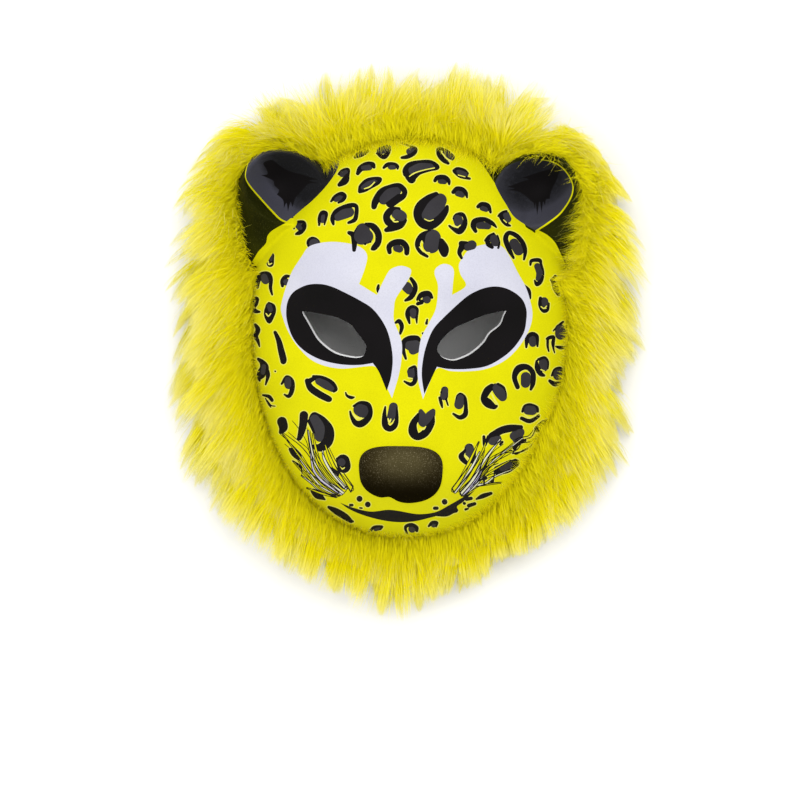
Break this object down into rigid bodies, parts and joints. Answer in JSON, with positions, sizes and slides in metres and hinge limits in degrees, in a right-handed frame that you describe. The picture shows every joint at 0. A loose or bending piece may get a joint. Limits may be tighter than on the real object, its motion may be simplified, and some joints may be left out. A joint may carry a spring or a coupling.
{
  "type": "foam leopard mask",
  "caption": "Full-face leopard mask of pressed printed foam with cupped ears and eye holes, in a long-pile plush ruff.",
  "frame": {"origin": "middle of the mask's bounding box, on the surface that it lies on", "axes": "+Z out of the face, +Y towards the top of the head, +X to the picture's right; the mask lies on its back edge"},
  "size_m": [0.2428, 0.2642, 0.0874],
  "materials": {
    "printed_foam": "knit cover printed yellow with black rosettes, bonded to pressed foam",
    "long_pile_plush": "yellow long pile in pointed locks with paler tips"
  },
  "bodies": {
    "root": {"foam_face": "printed_foam", "plush_ruff": "long_pile_plush"}
  },
  "joints": []
}
